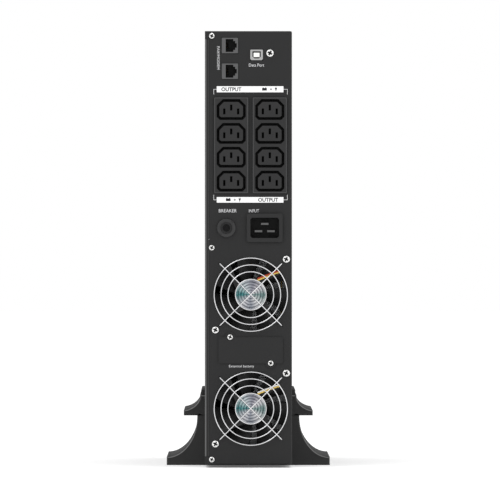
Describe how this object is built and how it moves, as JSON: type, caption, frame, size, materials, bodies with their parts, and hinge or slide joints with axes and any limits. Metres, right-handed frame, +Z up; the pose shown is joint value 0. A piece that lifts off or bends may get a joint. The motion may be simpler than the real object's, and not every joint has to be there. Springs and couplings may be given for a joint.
{
  "type": "rackmount ups",
  "caption": "Slim upright power supply in tower feet, with outlet strips, inlet, breaker, signal ports, two guarded fans, a turning display and a battery drawer.",
  "frame": {"origin": "on the ground under the middle of the whole object", "axes": "+Z up, the rear panel with its outlets faces -Y, the display and battery drawer face +Y"},
  "size_m": [0.1668, 0.4406, 0.4413],
  "materials": {
    "housing_paint": "fine-textured dark grey powder coat",
    "bare_steel": "zinc-plated sheet",
    "black_moulding": "satin moulded plastic",
    "front_moulding": "fine grained moulded plastic",
    "button_rubber": "matte",
    "screen_glass": "dark glossy window",
    "port_grey": "moulded",
    "port_white": "moulded",
    "nickel": "bright nickel plate",
    "brass": "plain",
    "guard_wire": "bright plated wire",
    "circuit_board": "solder-masked laminate",
    "heatsink_metal": "extruded",
    "transformer_iron": "varnished laminations",
    "battery_case": "moulded case",
    "red_lead": "insulated wire",
    "yellow_lead": "insulated wire",
    "foot_moulding": "satin moulded plastic"
  },
  "bodies": {
    "housing": {"chassis": "housing_paint", "side_cover": "housing_paint", "rear_panel": "housing_paint", "blank_plate": "housing_paint", "bay_divider": "bare_steel", "outlet_block_left": "black_moulding", "outlet_block_right": "black_moulding", "inlet_housing": "black_moulding", "breaker_body": "black_moulding", "breaker_nut": "black_moulding", "upper_fan_frame": "black_moulding", "lower_fan_frame": "black_moulding", "display_retainer": "black_moulding", "front_bezel": "front_moulding", "modem_jack_upper": "port_grey", "modem_jack_lower": "port_grey", "data_socket_tongue": "port_white", "inlet_pin_earth": "nickel", "inlet_pin_line": "nickel", "inlet_pin_neutral": "nickel", "data_socket_shell": "nickel", "panel_screw_bottom": "nickel", "panel_screw_middle": "nickel", "panel_screw_top": "nickel", "data_screw": "nickel", "plate_screw_upper": "nickel", "plate_screw_lower": "nickel", "upper_fan_screw_upper": "nickel", "upper_fan_screw_lower": "nickel", "lower_fan_screw_upper": "nickel", "lower_fan_screw_lower": "nickel", "comm_standoff": "brass", "upper_fan_guard": "guard_wire", "lower_fan_guard": "guard_wire", "comm_board": "circuit_board", "main_board": "circuit_board", "heatsink": "heatsink_metal", "transformer": "transformer_iron", "upper_fan_leads": "red_lead", "lower_fan_leads": "yellow_lead", "tower_foot_left": "foot_moulding", "tower_foot_right": "foot_moulding"},
    "upper_fan": {"upper_fan_rotor": "black_moulding"},
    "lower_fan": {"lower_fan_rotor": "black_moulding"},
    "breaker_plunger": {"breaker_button": "black_moulding"},
    "display": {"display_turntable": "front_moulding", "display_screen": "screen_glass"},
    "power_key": {"power_button": "button_rubber"},
    "up_key": {"up_button": "button_rubber"},
    "down_key": {"down_button": "button_rubber"},
    "enter_key": {"enter_button": "button_rubber"},
    "battery_drawer": {"battery_tray": "bare_steel", "battery_door": "front_moulding", "battery_1": "battery_case", "battery_2": "battery_case", "battery_3": "battery_case", "battery_4": "battery_case"}
  },
  "joints": [
    {"name": "upper_fan_spin", "type": "hinge", "parent": "housing", "child": "upper_fan", "pos_m": [0.0024, -0.19635, 0.1749], "axis": [0, 1, 0], "continuous": true},
    {"name": "lower_fan_spin", "type": "hinge", "parent": "housing", "child": "lower_fan", "pos_m": [0.0024, -0.19635, 0.0597], "axis": [0, 1, 0], "continuous": true},
    {"name": "breaker_trip", "type": "slide", "parent": "housing", "child": "breaker_plunger", "axis": [0, -1, 0], "range_m": [0, 0.0035]},
    {"name": "display_turn", "type": "hinge", "parent": "housing", "child": "display", "pos_m": [0, 0.21915, 0.3753], "axis": [0, 1, 0], "range_deg": [0, 90]},
    {"name": "power_press", "type": "slide", "parent": "display", "child": "power_key", "axis": [0, -1, 0], "range_m": [0, 0.0008], "stiffness_N_per_m": 400},
    {"name": "up_press", "type": "slide", "parent": "display", "child": "up_key", "axis": [0, -1, 0], "range_m": [0, 0.0008], "stiffness_N_per_m": 400},
    {"name": "down_press", "type": "slide", "parent": "display", "child": "down_key", "axis": [0, -1, 0], "range_m": [0, 0.0008], "stiffness_N_per_m": 400},
    {"name": "enter_press", "type": "slide", "parent": "display", "child": "enter_key", "axis": [0, -1, 0], "range_m": [0, 0.0008], "stiffness_N_per_m": 400},
    {"name": "battery_drawer_slide", "type": "slide", "parent": "housing", "child": "battery_drawer", "axis": [0, 1, 0], "range_m": [0, 0.31]}
  ]
}
